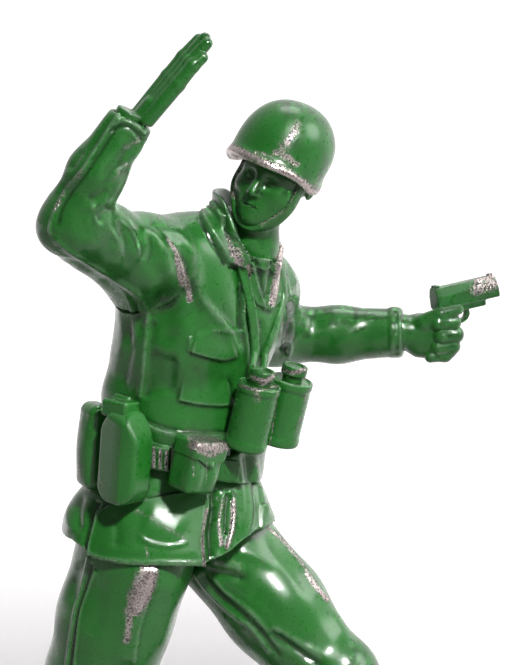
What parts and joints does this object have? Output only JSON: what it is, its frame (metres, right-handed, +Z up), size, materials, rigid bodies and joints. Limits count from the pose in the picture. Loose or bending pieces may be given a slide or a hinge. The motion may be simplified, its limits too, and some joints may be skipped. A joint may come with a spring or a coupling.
{
  "type": "toy soldier figure",
  "caption": "Green painted cast-metal toy soldier in a helmet, striding on an oval base with one hand raised and a pistol in the other; head, arms and hands turn on pegs.",
  "frame": {"origin": "centre of the underside of the oval base", "axes": "+Z up, +X along the base towards the pistol side, the viewer stands on the -Y side"},
  "size_m": [0.0907, 0.0695, 0.1635],
  "materials": {
    "green_enamel": "glossy green enamel, rubbed through to silver metal on the ridges",
    "worn_enamel": "green enamel mostly rubbed off, silver metal showing",
    "bare_metal": "bare cast metal, hidden inside"
  },
  "bodies": {
    "figure": {"base_plate": "green_enamel", "right_boot": "green_enamel", "left_boot": "green_enamel", "right_leg": "green_enamel", "left_leg": "green_enamel", "jacket_skirt": "green_enamel", "torso_front": "green_enamel", "torso_back": "green_enamel", "torso_dowels": "bare_metal", "belt": "green_enamel", "belt_buckle": "worn_enamel", "ammo_pouch": "green_enamel", "canteen_front": "green_enamel", "canteen_back": "green_enamel", "canteen_flap": "green_enamel", "binocular_barrels": "green_enamel", "binocular_eyepieces": "worn_enamel", "binocular_bridge": "green_enamel", "binocular_strap": "green_enamel"},
    "head": {"head": "green_enamel", "chin_strap": "green_enamel", "helmet": "green_enamel"},
    "right_arm": {"right_sleeve": "green_enamel", "right_shoulder_pin": "bare_metal"},
    "right_hand": {"right_hand": "green_enamel"},
    "left_arm": {"left_sleeve": "green_enamel", "left_shoulder_pin": "bare_metal"},
    "left_hand": {"left_hand": "green_enamel", "pistol": "green_enamel"}
  },
  "joints": [
    {"name": "neck_swivel", "type": "hinge", "parent": "figure", "child": "head", "pos_m": [0.00569, 0.00003, 0.12594], "axis": [0.2419, 0, 0.9703], "range_deg": [-15, 105]},
    {"name": "right_shoulder_swivel", "type": "hinge", "parent": "figure", "child": "right_arm", "pos_m": [-0.00945, -0.00725, 0.12456], "axis": [0.6861, 0.7071, -0.1711], "continuous": true},
    {"name": "right_wrist_swivel", "type": "hinge", "parent": "right_arm", "child": "right_hand", "pos_m": [-0.01443, -0.025, 0.15105], "axis": [0.4762, -0.0035, 0.8793], "continuous": true},
    {"name": "left_shoulder_swivel", "type": "hinge", "parent": "figure", "child": "left_arm", "pos_m": [0.00783, 0.01064, 0.11757], "axis": [0.6861, 0.7071, -0.1711], "continuous": true},
    {"name": "left_wrist_swivel", "type": "hinge", "parent": "left_arm", "child": "left_hand", "pos_m": [0.03231, 0.03249, 0.10498], "axis": [0.9978, -0.0617, 0.0254], "continuous": true}
  ]
}
